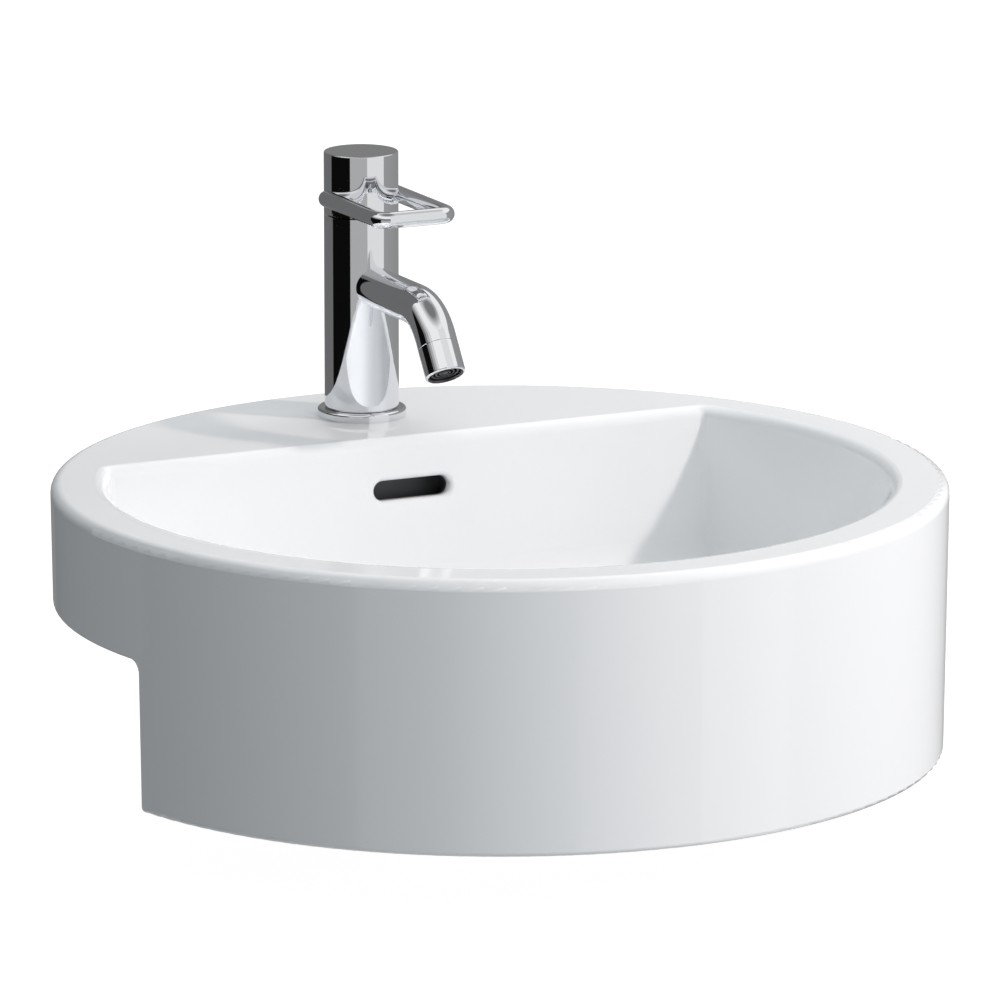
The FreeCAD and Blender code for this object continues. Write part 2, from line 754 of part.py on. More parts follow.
def handle_bow():
    low_y = -bow_reach + bow_corner_radius
    parts = []
    for side in (-1, 1):
        parts.append(rod_y(bow_bar_radius, low_y, 0, side * bow_half_width, bow_height))
        parts.append(Part.makeSphere(bow_bar_radius, V(side * bow_half_width, 0, bow_height)))
        bar = Part.Circle(V(side * bow_half_width, low_y, bow_height), ALONG_Y, bow_bar_radius)
        pivot = V(side * (bow_half_width - bow_corner_radius), low_y, bow_height)
        parts.append(Part.Face(Part.Wire(bar.toShape())).revolve(pivot, UP, -side * 90))
    half = bow_half_width - bow_corner_radius
    parts.append(rod_x(bow_bar_radius, -half, half, -bow_reach, bow_height))
    shape = fused(parts)
    for side in (-1, 1):
        shape = shape.cut(bow_screw_shank(side))
    return shape


def bow_screw_shank(side):
    start = lug_inner_x if side > 0 else -lug_inner_x - bow_screw_length
    return rod_x(bow_screw_radius, start, start + bow_screw_length, bow_screw_y, bow_height)


def bow_screws():
    screws = []
    for side in (-1, 1):
        start = lug_inner_x - bow_screw_head_height if side > 0 else -lug_inner_x
        head = rod_x(bow_screw_head_radius, start, start + bow_screw_head_height, bow_screw_y, bow_height)
        screws.append(head.fuse(bow_screw_shank(side)).removeSplitter())
    return Part.makeCompound(screws)


def head_cap():
    shell = turned([(head_inner_radius, head_low), (column_radius, head_low), (column_radius, head_top),
                    (0, head_top), (0, head_roof_low), (head_inner_radius, head_roof_low)],
                   {2: head_top_round})
    half = lever_post_half + fit_clearance
    socket_low = head_roof_low - socket_height
    parts = [shell, block(-half - socket_wall, half + socket_wall, -half - socket_wall,
                          half + socket_rear_wall, socket_low, head_roof_low)]
    inside = cylinder(head_inner_radius + head_wall / 2, head_low, head_top)
    for side in (-1, 1):
        low, high = sorted((side * lug_inner_x, side * column_radius))
        lug = block(low, high, lug_front_y, lug_rear_y, bow_height - lug_half_height,
                    bow_height + lug_half_height)
        parts.append(lug.common(inside))
    shape = fused(parts)
    tools = [block(-half, half, -half, half, socket_low, lever_post_top + slide_clearance),
             rod_y(head_screw_radius, half, half + socket_rear_wall, 0, head_screw_height),
             rod_y(cover_radius, head_inner_radius - over_cut, column_radius + over_cut, 0,
                   head_screw_height),
             handle_bow_solid(), tilt_bevel()]
    tools += [bow_screw_shank(side) for side in (-1, 1)]
    for tool in tools:
        shape = shape.cut(tool)
    return shape


def handle_bow_solid():
    bars = []
    for side in (-1, 1):
        bar = rod_y(bow_bar_radius, lug_front_y - column_radius, 0, side * bow_half_width, bow_height)
        bars.append(bar.fuse(Part.makeSphere(bow_bar_radius, V(side * bow_half_width, 0, bow_height))))
    return Part.makeCompound(bars)


def tilt_bevel():
    """Space that the head's rear edge must leave so that it clears the column at full lift."""
    lift = math.radians(lift_deg)
    drop = (hinge_height - column_height - lift_gap) / math.cos(lift)
    start_y = hinge_y + (head_low - hinge_height + drop) / math.tan(lift)
    far = column_radius + over_cut
    far_z = head_low + (far - start_y) * math.tan(lift)
    below = head_low - over_cut
    return prism_x([(start_y, below), (start_y, head_low), (far, far_z), (far, below)], {}, -far, far)


def head_screw():
    half = lever_post_half
    shape = rod_y(head_screw_radius, half, half + head_screw_length, 0, head_screw_height)
    socket = hexagon(head_screw_radius, 0, head_screw_length / 2)
    socket.Placement = FreeCAD.Placement(V(0, half + head_screw_length, head_screw_height),
                                         FreeCAD.Rotation(ALONG_X, 90))
    return shape.cut(socket)


def screw_cover():
    plug = rod_y(cover_radius, head_inner_radius, column_radius + over_cut, 0, head_screw_height)
    return plug.common(cylinder(column_radius, head_low, head_top))


# ---------------------------------------------------------------- tap inside
def ports(radius, low, high):
    places = [(inlet_x, inlet_y), (-inlet_x, inlet_y), (0, outlet_y)]
    return Part.makeCompound([cylinder(radius, low, high, x, y) for x, y in places])


def cartridge_case():
    shape = turned([(0, cartridge_seat), (case_radius, cartridge_seat), (case_radius, case_top),
                    (case_inner_radius, case_top), (case_inner_radius, fixed_disc_low),
                    (0, fixed_disc_low)])
    shape = shape.cut(ports(port_radius, cartridge_seat, fixed_disc_low))
    seal_seat_top = cartridge_seat + port_seal_thickness
    return shape.cut(ports(port_radius + port_seal_outer, cartridge_seat, seal_seat_top))


def port_seals():
    top = cartridge_seat + port_seal_thickness
    rings = ports(port_radius + port_seal_outer, cartridge_seat, top)
    return rings.cut(ports(port_radius + port_seal_inner, cartridge_seat, top))


def fixed_disc():
    top = fixed_disc_low + fixed_disc_thickness
    disc = cylinder(case_inner_radius - fit_clearance, fixed_disc_low, top)
    return disc.cut(ports(port_radius, fixed_disc_low, top))


def moving_disc():
    disc = cylinder(moving_disc_radius, moving_disc_low, carrier_low)
    top = moving_disc_low + mixing_pocket_depth
    passage = block(-port_radius, port_radius, -mixing_pocket_front, outlet_y + port_radius,
                    moving_disc_low, top)
    cross = block(-mixing_pocket_half_width, mixing_pocket_half_width, 0, mixing_pocket_rear,
                  moving_disc_low, top)
    return disc.cut(passage.fuse(cross))


def disc_carrier():
    shape = cylinder(moving_disc_radius, carrier_low, carrier_top)
    key = block(-carrier_key_half_width, carrier_key_half_width, -carrier_key_half_length,
                carrier_key_half_length, carrier_top, carrier_top + carrier_key_height)
    shape = shape.fuse(key).removeSplitter()
    half_x = lever_ball_radius + slide_clearance
    half_y = lever_ball_radius + ball_pocket_play
    return shape.cut(block(-half_x, half_x, -half_y, half_y, carrier_top - ball_pocket_depth,
                           carrier_top + carrier_key_height))


def turret():
    shape = turned([(0, turret_low), (turret_flange_radius, turret_low),
                    (turret_flange_radius, turret_neck_low), (turret_neck_radius, turret_neck_low),
                    (turret_neck_radius, turret_neck_top), (0, turret_neck_top)])
    ear_low = lever_half_width + lever_side_play
    for side in (-1, 1):
        low, high = sorted((side * ear_low, side * (ear_low + ear_thickness)))
        post = block(low, high, hinge_y - ear_radius, hinge_y + ear_radius, turret_neck_low,
                     hinge_height)
        shape = shape.multiFuse([post, rod_x(ear_radius, low, high, hinge_y, hinge_height)])
    half = carrier_key_half_width + slide_clearance
    shape = shape.cut(block(-half, half, -turret_window_front, turret_window_rear, turret_low,
                            turret_neck_top))
    reach = ear_low + ear_thickness
    relief = block(-ear_low, ear_low, hinge_y - ear_radius, hinge_y + ear_radius,
                   hinge_height - ear_radius - slide_clearance, turret_neck_top + over_cut)
    pin = rod_x(hinge_pin_radius, -reach, reach, hinge_y, hinge_height)
    return shape.cut(relief).cut(pin).removeSplitter()


def hinge_pin():
    reach = lever_half_width + lever_side_play + ear_thickness
    return rod_x(hinge_pin_radius, -reach, reach, hinge_y, hinge_height)


def lever():
    half = lever_half_width
    arm_low = hinge_height - lever_arm_below_hinge
    arm = block(-half, half, -lever_post_half, hinge_y, arm_low, lever_arm_top)
    post = block(-lever_post_half, lever_post_half, -lever_post_half, lever_post_half, lever_arm_top,
                 lever_post_top)
    shape = fused([rod_x(lever_barrel_radius, -half, half, hinge_y, hinge_height), arm, post,
                   cylinder(lever_shank_radius, lever_ball_height, arm_low),
                   Part.makeSphere(lever_ball_radius, V(0, 0, lever_ball_height))])
    return shape.cut(rod_x(hinge_pin_radius + running_clearance, -half, half, hinge_y, hinge_height))


def glide_ring():
    return ring(glide_ring_outer_radius, glide_ring_inner_radius, turret_neck_low + running_clearance,
                case_top)


def ring_nut():
    return ring(cartridge_bore_radius, ring_nut_inner_radius, case_top, case_top + ring_nut_height)


# ---------------------------------------------------------------- tap fixing
def fixing_stud():
    return cylinder(stud_radius, -stud_below_deck, stud_in_column, 0, stud_y)


def horseshoe(top, thickness):
    half = horseshoe_slot_half
    shape = cylinder(horseshoe_radius, top - thickness, top)
    shape = shape.cut(block(-half, half, -horseshoe_radius - over_cut, horseshoe_slot_rear,
                            top - thickness, top))
    return shape.cut(cylinder(stud_radius + slide_clearance, top - thickness, top, 0, stud_y))


def horseshoe_gasket():
    return horseshoe(-deck_thickness, horseshoe_gasket_thickness)


def horseshoe_plate():
    return horseshoe(-deck_thickness - horseshoe_gasket_thickness, horseshoe_plate_thickness)


def stud_nut():
    top = -deck_thickness - horseshoe_gasket_thickness - horseshoe_plate_thickness
    nut = hexagon(stud_nut_flats, top - stud_nut_height, top, 0, stud_y)
    return nut.cut(cylinder(stud_radius, top - stud_nut_height, top, 0, stud_y))


# ---------------------------------------------------------------- output
basin_parts = [basin_body, waste_flange, flange_seal, waste_boss_seal, waste_slip_washer, waste_back_nut,
               push_cartridge, plug_spring, plug_stem, waste_plug, plug_seal]
tap_parts = [tap_flange, flange_gasket, tap_body, spout, aerator_housing, aerator_insert, aerator_screen,
             aerator_washer, handle_bow, bow_screws, head_cap, head_screw, screw_cover, cartridge_case,
             port_seals, fixed_disc, moving_disc, disc_carrier, turret, hinge_pin, lever, glide_ring,
             ring_nut, fixing_stud, horseshoe_gasket, horseshoe_plate, stud_nut]

os.makedirs("parts", exist_ok=True)
for make in basin_parts + tap_parts:
    piece = make()
    if make in tap_parts:
        piece.translate(V(0, tap_y, rim_z))
    piece.exportStep("parts/" + make.__name__ + ".step")
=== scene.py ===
import json
import math

import bmesh
import bpy
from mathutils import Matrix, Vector


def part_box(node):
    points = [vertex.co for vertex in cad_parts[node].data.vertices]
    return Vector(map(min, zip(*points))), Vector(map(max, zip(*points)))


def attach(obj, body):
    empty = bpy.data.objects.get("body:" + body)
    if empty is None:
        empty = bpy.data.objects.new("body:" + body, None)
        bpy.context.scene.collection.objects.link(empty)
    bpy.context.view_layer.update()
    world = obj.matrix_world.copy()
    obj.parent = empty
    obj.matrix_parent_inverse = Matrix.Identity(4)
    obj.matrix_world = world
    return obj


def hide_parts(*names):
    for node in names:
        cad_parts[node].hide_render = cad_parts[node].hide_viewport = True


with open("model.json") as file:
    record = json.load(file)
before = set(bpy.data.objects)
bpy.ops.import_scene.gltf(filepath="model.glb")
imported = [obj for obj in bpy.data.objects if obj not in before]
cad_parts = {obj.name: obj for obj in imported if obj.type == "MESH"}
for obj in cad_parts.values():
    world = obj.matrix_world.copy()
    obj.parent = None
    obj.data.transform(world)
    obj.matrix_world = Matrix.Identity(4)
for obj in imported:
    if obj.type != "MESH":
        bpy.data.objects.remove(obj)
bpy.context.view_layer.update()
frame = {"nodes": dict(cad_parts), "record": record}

# ------------------------------------------------------------------ view
CAMERA_AT = (-1.9464, -4.0498, 1.1868)
CAMERA_LOOKS_AT = (0.0, 0.0, 0.16317)
CAMERA_LENS = 324.0
CAMERA_SENSOR = 36.0
CAMERA_SEES_TO = 100.0

# ------------------------------------------------------------------ light
CENTRE = Vector((0.0, 0.0, 0.12))     # the lamps face this point and the cards stand round it

# Soft lamps: degrees from the front towards +X, degrees up, metres away, width, height, watts.
LAMPS = {
    "key": (49.5, 34.0, 2.4, 0.14, 0.14, 25.0),
    "front": (10.0, 15.0, 2.6, 1.4, 1.6, 8.4),
    "right": (45.0, 12.0, 2.6, 1.2, 1.6, 4.6),
    "right_rear": (110.0, 15.0, 2.6, 1.2, 1.6, 30.5),
    "low": (30.0, -12.0, 2.6, 2.0, 0.8, 16.2),
    "top": (0.0, 89.0, 2.3, 2.0, 2.0, 10.2),
    "top_front": (-10.0, 55.0, 2.3, 1.8, 1.6, 8.0),
    "top_rear": (160.0, 50.0, 2.3, 1.6, 1.6, 23.0),
}
KEY_TINT = (1.0, 0.92, 0.89)
FILL_TINT = (0.968, 0.983, 1.0)
ROOM_TINT = (0.91, 0.962, 1.0)
ROOM_LIGHT = 0.284            # even light from all round on matt surfaces
BACKGROUND_TINT = (1.0, 1.0, 1.0)
BACKGROUND = 1.0
FLOOR_HALF = 6.0
FLOOR_GLOW = 0.95
FLOOR_MATT = 0.2              # brightness of the floor's matt layer, which shows the object's shadow

# ------------------------------------------------------------------ reflection cards
# Upright cards, seen by glossy surfaces alone, stand in sectors round the object. A sector runs
# from one angle to another, in degrees from the front towards +X.
WALL_SIDE = (-208.0, -185.0)
REAR_LEFT = (-185.0, -131.0)
REAR_LEFT_LOW = (-185.0, -125.7)
LEFT = (-131.0, -61.3)
LEFT_LOW = (-125.7, -61.3)
FRONT_LEFT = (-61.3, -6.3)
FRONT_RIGHT = (-6.3, 51.7)
RIGHT = (51.7, 152.0)
CARD_FOOT = -40.0             # degrees up
CARD_SPLIT = -8.0             # degrees up, where the cards at the left change their width
CARD_TOP = 60.0
BLACK = 0.004                 # brightness of the darkest cards

# Each row: the sector, low and high in degrees up, brightness at the sector's start and at its end.
PANELS = [
    (*WALL_SIDE, CARD_FOOT, CARD_TOP, 0.23, 0.23),
    (*REAR_LEFT_LOW, CARD_FOOT, CARD_SPLIT, 0.16, 0.16),
    (*REAR_LEFT, CARD_SPLIT, CARD_TOP, 0.16, 0.16),
    (*LEFT_LOW, CARD_FOOT, CARD_SPLIT, BLACK, BLACK),
    (*LEFT, CARD_SPLIT, 20.0, BLACK, BLACK),
    (*LEFT, 20.0, 26.0, 0.2, 0.2),
    (*LEFT, 26.0, 33.0, 0.45, 0.45),
    (*LEFT, 33.0, 40.0, 0.75, 0.75),
    (*FRONT_LEFT, CARD_FOOT, 12.0, 0.47, 0.47),
    (*FRONT_LEFT, 12.0, 26.0, 0.12, 0.12),
    (*FRONT_LEFT, 26.0, 34.0, 0.5, 0.5),
    (*FRONT_RIGHT, CARD_FOOT, CARD_TOP, 0.85, 0.85),
    (*RIGHT, CARD_FOOT, 34.0, 0.36, 0.28),
]
PANEL_DISTANCE = 3.4
PANEL_STEP = 4.0              # degrees round that one flat piece of a card spans
CEILING_FROM = 56.0           # degrees up, where the ceiling card's edge lies
CEILING_DULL_FROM = 76.0      # degrees up, where its dull middle begins
CEILING_GLOW = 0.22           # brightness of its middle
CEILING_EDGE_GLOW = 1.0

# ------------------------------------------------------------------ china
RIM_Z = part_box("basin_body")[1][2]
DECK_THICKNESS = 0.014
LEDGE_FRONT_Y = 0.1075
DUCT_LEAN = math.tan(math.radians(5.4))       # how the bowl's rear wall leans forward going down
DUCT_FROM = 0.0055                            # behind the wall's face
DUCT_TO = 0.0215
DUCT_HALF_WIDTH = 0.0255
GLAZE_COOL = (0.847, 0.862, 0.872)
GLAZE_WARM = (0.863, 0.868, 0.872)
GLAZE_IOR = 1.5
GLAZE_ROUGHNESS = (0.045, 0.075)
GLAZE_CLOUD_SCALE = 7.0
GLAZE_GLOSS_SCALE = 30.0
GLAZE_RIPPLE_SCALE = 85.0
GLAZE_RIPPLE_STRENGTH = 0.25
GLAZE_RIPPLE_DEPTH = 0.00006
BISCUIT = (0.74, 0.72, 0.68)
BISCUIT_ROUGHNESS = 0.55
LOOKS_DOWN = -0.9             # the upward part of a bare face's normal is below this
# Painted shade inside the overflow duct: pale at its left side, dark at its right.
DUCT_PAINTED_SHADE_PALE = (0.15, 0.155, 0.16)
DUCT_PAINTED_SHADE_DARK = (0.06, 0.062, 0.064)
DUCT_ROUGHNESS = 0.35

# ------------------------------------------------------------------ chrome
CHROME_DULL = (0.79, 0.80, 0.82)
CHROME_BRIGHT = (0.82, 0.83, 0.85)
CHROME_ROUGHNESS = (0.02, 0.045)
CHROME_PATCH_SCALE = 40.0
CHROME_MARK_SCALE = 500.0
CHROME_MARK_STRETCH = (1.0, 1.0, 0.05)
CHROME_WAVE_SCALE = 120.0
CHROME_WAVE_STRENGTH = 0.15
CHROME_WAVE_DEPTH = 0.00001

# ------------------------------------------------------------------ all finishes
PATCH_DETAIL = 3.0
GRAIN_DETAIL = 2.0
SMOOTH_DETAIL = 1.0
GRAIN_STRENGTH = 0.6
NOISE_LOW = 0.3               # most of a noise texture lies between these two
NOISE_HIGH = 0.7
MIX_FIRST = 6                 # the sockets for colours on a mix node
MIX_SECOND = 7
MIX_RESULT = 2

# ------------------------------------------------------------------ threads
WASTE_THREAD = {"radius": 0.02095, "pitch": 0.002309, "depth": 0.0012}
WASTE_THREAD_LENGTH = 0.028
STUD_THREAD = {"radius": 0.004, "pitch": 0.00125, "depth": 0.0006}
THREAD_PICK = 0.00005         # how near to the plain cylinder a face lies that the thread replaces
THREAD_UPRIGHT = 0.5          # the upward part of such a face's normal is below this
THREAD_ROWS = 10              # rows of faces in one turn
THREAD_SIDES = 72
THREAD_FLAT = 0.1             # flat share of half a turn's height at the crest, and again at the root


# ------------------------------------------------------------------ nodes of materials
def node_material(name):
    material = bpy.data.materials.new(name)
    material.use_nodes = True
    return material, material.node_tree.nodes, material.node_tree.links


def math_node(nodes, links, operation, first, second):
    node = nodes.new("ShaderNodeMath")
    node.operation = operation
    for socket, value in zip(node.inputs, (first, second)):
        if isinstance(value, (int, float)):
            socket.default_value = value
        else:
            links.new(value, socket)
    return node.outputs[0]


def map_range(nodes, links, value, limits):
    """Map a value from one range to another. limits gives the range's sockets by name."""
    node = nodes.new("ShaderNodeMapRange")
    for socket, limit in limits.items():
        node.inputs[socket].default_value = limit
    links.new(value, node.inputs["Value"])
    return node.outputs["Result"]


def noise(nodes, links, scale, detail=PATCH_DETAIL, stretch=(1.0, 1.0, 1.0)):
    """Noise in the object's own metres. A stretch below 1 makes it longer along that axis."""
    where = nodes.new("ShaderNodeTexCoord")
    mapping = nodes.new("ShaderNodeMapping")
    mapping.inputs["Scale"].default_value = stretch
    texture = nodes.new("ShaderNodeTexNoise")
    texture.inputs["Scale"].default_value = scale
    texture.inputs["Detail"].default_value = detail
    links.new(where.outputs["Object"], mapping.inputs["Vector"])
    links.new(mapping.outputs["Vector"], texture.inputs["Vector"])
    return texture.outputs["Fac"]


def spread(nodes, links, value, low, high):
    """Map a noise value to a range."""
    return map_range(nodes, links, value,
                     {"From Min": NOISE_LOW, "From Max": NOISE_HIGH, "To Min": low, "To Max": high})


def blend_colors(nodes, links, factor, first, second):
    node = nodes.new("ShaderNodeMix")
    node.data_type = "RGBA"
    links.new(factor, node.inputs["Factor"])
    for socket, color in ((node.inputs[MIX_FIRST], first), (node.inputs[MIX_SECOND], second)):
        if isinstance(color, tuple):
            socket.default_value = (*color, 1)
        else:
            links.new(color, socket)
    return node.outputs[MIX_RESULT]


def add_bump(nodes, links, shader, height, strength, distance):
    bump = nodes.new("ShaderNodeBump")
    bump.inputs["Strength"].default_value = strength
    bump.inputs["Distance"].default_value = distance
    links.new(height, bump.inputs["Height"])
    links.new(bump.outputs["Normal"], shader.inputs["Normal"])


def within(nodes, links, value, low, high):
    """1 where a value lies between two limits."""
    above = math_node(nodes, links, "GREATER_THAN", value, low)
    below = math_node(nodes, links, "LESS_THAN", value, high)
    return math_node(nodes, links, "MULTIPLY", above, below)


def inside_duct(nodes, links, place):
    """1 in the overflow duct, a slanting slab behind the bowl's rear wall and below the deck, where the
    china gets painted shade.
    """
    fall = math_node(nodes, links, "SUBTRACT", RIM_Z, place.outputs["Z"])
    lean = math_node(nodes, links, "MULTIPLY", fall, DUCT_LEAN)
    wall = math_node(nodes, links, "SUBTRACT", place.outputs["Y"], LEDGE_FRONT_Y)
    behind = math_node(nodes, links, "ADD", wall, lean)
    across = math_node(nodes, links, "ABSOLUTE", place.outputs["X"], 0.0)
    narrow = math_node(nodes, links, "LESS_THAN", across, DUCT_HALF_WIDTH)
    under_deck = math_node(nodes, links, "GREATER_THAN", fall, DECK_THICKNESS)
    slab = math_node(nodes, links, "MULTIPLY", within(nodes, links, behind, DUCT_FROM, DUCT_TO), narrow)
    return math_node(nodes, links, "MULTIPLY", slab, under_deck)


# ------------------------------------------------------------------ materials
def china():
    """Bright glaze over a faintly uneven body, bare where it looks down, with painted shade inside the
    overflow that is paler at its left.
    """
    material, nodes, links = node_material("glazed_china")
    shader = nodes["Principled BSDF"]
    shader.inputs["IOR"].default_value = GLAZE_IOR
    where = nodes.new("ShaderNodeTexCoord")
    place = nodes.new("ShaderNodeSeparateXYZ")
    facing = nodes.new("ShaderNodeSeparateXYZ")
    links.new(where.outputs["Object"], place.inputs[0])
    links.new(where.outputs["Normal"], facing.inputs[0])
    bare = math_node(nodes, links, "LESS_THAN", facing.outputs["Z"], LOOKS_DOWN)
    inside = inside_duct(nodes, links, place)

    # Painted shade in the overflow duct, going from pale at its left to dark at its right.
    painted_shade_to_right = map_range(nodes, links, place.outputs["X"],
                         {"From Min": -DUCT_HALF_WIDTH, "From Max": DUCT_HALF_WIDTH / 2})
    duct_painted_shade = blend_colors(nodes, links, painted_shade_to_right, DUCT_PAINTED_SHADE_PALE, DUCT_PAINTED_SHADE_DARK)
    color = blend_colors(nodes, links, noise(nodes, links, GLAZE_CLOUD_SCALE), GLAZE_COOL, GLAZE_WARM)
    color = blend_colors(nodes, links, bare, color, BISCUIT)
    color = blend_colors(nodes, links, inside, color, duct_painted_shade)
    links.new(color, shader.inputs["Base Color"])

    roughness = spread(nodes, links, noise(nodes, links, GLAZE_GLOSS_SCALE), *GLAZE_ROUGHNESS)
    for where_matt, least in ((bare, BISCUIT_ROUGHNESS), (inside, DUCT_ROUGHNESS)):
        matt = math_node(nodes, links, "MULTIPLY", where_matt, least)
        roughness = math_node(nodes, links, "MAXIMUM", roughness, matt)
    links.new(roughness, shader.inputs["Roughness"])
    ripple = noise(nodes, links, GLAZE_RIPPLE_SCALE, SMOOTH_DETAIL)
    add_bump(nodes, links, shader, ripple, GLAZE_RIPPLE_STRENGTH, GLAZE_RIPPLE_DEPTH)
    return material


def chrome():
    """Mirror plating with a trace of polishing marks in its gloss and its surface."""
    material, nodes, links = node_material("polished_chrome")
    shader = nodes["Principled BSDF"]
    shader.inputs["Metallic"].default_value = 1.0
    patches = noise(nodes, links, CHROME_PATCH_SCALE)
    marks = noise(nodes, links, CHROME_MARK_SCALE, GRAIN_DETAIL, CHROME_MARK_STRETCH)
    waves = noise(nodes, links, CHROME_WAVE_SCALE, SMOOTH_DETAIL)
    color = blend_colors(nodes, links, patches, CHROME_DULL, CHROME_BRIGHT)
    links.new(color, shader.inputs["Base Color"])
    links.new(spread(nodes, links, marks, *CHROME_ROUGHNESS), shader.inputs["Roughness"])
    add_bump(nodes, links, shader, waves, CHROME_WAVE_STRENGTH, CHROME_WAVE_DEPTH)
    return material


def finish(name, first, second, roughness, metallic=0.0, patch=60.0, grain=900.0, grain_depth=0.00001,
           stretch=(1.0, 1.0, 1.0)):
    """Material with two close colours in patches, uneven gloss and a fine surface grain."""
    material, nodes, links = node_material(name)
    shader = nodes["Principled BSDF"]
    shader.inputs["Metallic"].default_value = metallic
    patches = noise(nodes, links, patch)
    fine = noise(nodes, links, grain, GRAIN_DETAIL, stretch)
    links.new(blend_colors(nodes, links, patches, first, second), shader.inputs["Base Color"])
    links.new(spread(nodes, links, fine, *roughness), shader.inputs["Roughness"])
    add_bump(nodes, links, shader, fine, GRAIN_STRENGTH, grain_depth)
    return material


SLOT_MATERIALS = {
    "china": china(),
    "chrome": chrome(),
    "brass": finish("machined_brass", (0.70, 0.54, 0.27), (0.80, 0.66, 0.38), (0.18, 0.32), 1.0,
                    grain=1500.0, grain_depth=0.00002, stretch=(0.1, 0.1, 1.0)),
    "steel": finish("zinc_steel", (0.52, 0.53, 0.55), (0.66, 0.66, 0.64), (0.28, 0.45), 1.0, patch=180.0),
    "stainless": finish("stainless_steel", (0.58, 0.58, 0.59), (0.65, 0.65, 0.66), (0.16, 0.28), 1.0,
                        grain=1800.0, stretch=(1.0, 1.0, 0.08)),
    "rubber_black": finish("black_rubber", (0.016, 0.016, 0.017), (0.03, 0.03, 0.03), (0.5, 0.7),
                           grain=1400.0, grain_depth=0.00004),
    "plastic_black": finish("black_plastic", (0.010, 0.010, 0.011), (0.016, 0.016, 0.017), (0.28, 0.42),
                            grain=2200.0),
    "plastic_white": finish("white_plastic", (0.77, 0.77, 0.75), (0.83, 0.83, 0.81), (0.35, 0.5)),
    "plastic_grey": finish("grey_plastic", (0.22, 0.23, 0.24), (0.28, 0.29, 0.30), (0.35, 0.5)),
    "disc_white": finish("lapped_ceramic", (0.82, 0.82, 0.79), (0.88, 0.88, 0.85), (0.14, 0.24)),
}

slot_of = {part["node"]: part["material_slot"] for part in frame["record"]["subparts"]}
body_of = {node: body for body, nodes in frame["record"]["behaviour"]["bodies"].items() for node in nodes}
for name, piece in frame["nodes"].items():
    piece.data.materials.clear()
    piece.data.materials.append(SLOT_MATERIALS[slot_of[name]])


# ------------------------------------------------------------------ cut threads
def remove_side(shape, radius, low, high, x, y):
    """Take away the side of a plain upright cylinder between two heights."""
    def on_cylinder(vertex):
        off = abs(math.hypot(vertex.co.x - x, vertex.co.y - y) - radius)
        return off < THREAD_PICK and low - THREAD_PICK < vertex.co.z < high + THREAD_PICK

    plain = [face for face in shape.faces if all(on_cylinder(vertex) for vertex in face.verts)
             and abs(face.normal.z) < THREAD_UPRIGHT]
    bmesh.ops.delete(shape, geom=plain, context="FACES")


def thread_ring(shape, z, radius, depth, pitch, x, y):
    """One round of corners at a height, where the groove has turned by the height over the pitch."""
    ring = []
    for k in range(THREAD_SIDES):
        turn = k / THREAD_SIDES
        wave = abs((z / pitch - turn) % 1.0 - 0.5) * 2.0
        cut = max(0.0, min(1.0, (wave - THREAD_FLAT) / (1.0 - 2.0 * THREAD_FLAT)))
        r = radius - depth * cut
        angle = 2 * math.pi * turn
        ring.append(shape.verts.new((x + r * math.cos(angle), y + r * math.sin(angle), z)))
    return ring


def threaded(node, low, high, radius, pitch, depth, x=0.0, y=0.0):
    """The node again with a cut thread in place of its plain cylinder between two heights."""
    mesh = frame["nodes"][node].data.copy()
    shape = bmesh.new()
    shape.from_mesh(mesh)
    remove_side(shape, radius, low, high, x, y)
    rows = round((high - low) / pitch * THREAD_ROWS)
    rings = []
    for row in range(rows + 1):
        z = low + (high - low) * row / rows
        fade = min(1.0, (z - low) / pitch, (high - z) / pitch)
        rings.append(thread_ring(shape, z, radius, depth * fade, pitch, x, y))
    for under, over in zip(rings, rings[1:]):
        for k in range(THREAD_SIDES):
            n = (k + 1) % THREAD_SIDES
            shape.faces.new((under[k], under[n], over[n], over[k]))
    shape.to_mesh(mesh)
    shape.free()
    piece = bpy.data.objects.new(node + "_threaded", mesh)
    bpy.context.scene.collection.objects.link(piece)
    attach(piece, body_of[node])
    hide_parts(node)


threaded("waste_flange", 0.0, WASTE_THREAD_LENGTH, **WASTE_THREAD)
stud_from, stud_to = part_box("fixing_stud")
stud_y = (stud_from[1] + stud_to[1]) / 2
threaded("fixing_stud", stud_from[2], RIM_Z - DECK_THICKNESS, **STUD_THREAD, y=stud_y)


# ------------------------------------------------------------------ stage
def from_centre(azimuth, elevation, distance):
    """Point at a distance from the object. Azimuth in degrees from the front (-Y) towards +X."""
    a, e = math.radians(azimuth), math.radians(elevation)
    return CENTRE + Vector((math.sin(a) * math.cos(e), -math.cos(a) * math.cos(e), math.sin(e))) * distance


def softbox(name, azimuth, elevation, distance, width, height, power):
    light = bpy.data.lights.new(name, "AREA")
    light.shape = "RECTANGLE"
    light.size = width
    light.size_y = height
    light.energy = power
    light.color = KEY_TINT if name == "key" else FILL_TINT
    lamp = bpy.data.objects.new(name, light)
    lamp.location = from_centre(azimuth, elevation, distance)
    lamp.rotation_euler = (CENTRE - lamp.location).to_track_quat("-Z", "Y").to_euler()
    lamp.visible_glossy = False
    bpy.context.scene.collection.objects.link(lamp)


def emitter(name, strength):
    """Material that only glows. Its emission node comes back with it."""
    material, nodes, links = node_material(name)
    nodes.remove(nodes["Principled BSDF"])
    glow = nodes.new("ShaderNodeEmission")
    glow.inputs["Strength"].default_value = strength
    links.new(glow.outputs[0], nodes["Material Output"].inputs["Surface"])
    return material, glow


def mesh_object(name, vertices, faces):
    mesh = bpy.data.meshes.new(name)
    mesh.from_pydata(vertices, [], faces)
    piece = bpy.data.objects.new(name, mesh)
    bpy.context.scene.collection.objects.link(piece)
    return piece


def only_glossy(card):
    card.visible_camera = False
    card.visible_diffuse = False
    card.visible_shadow = False


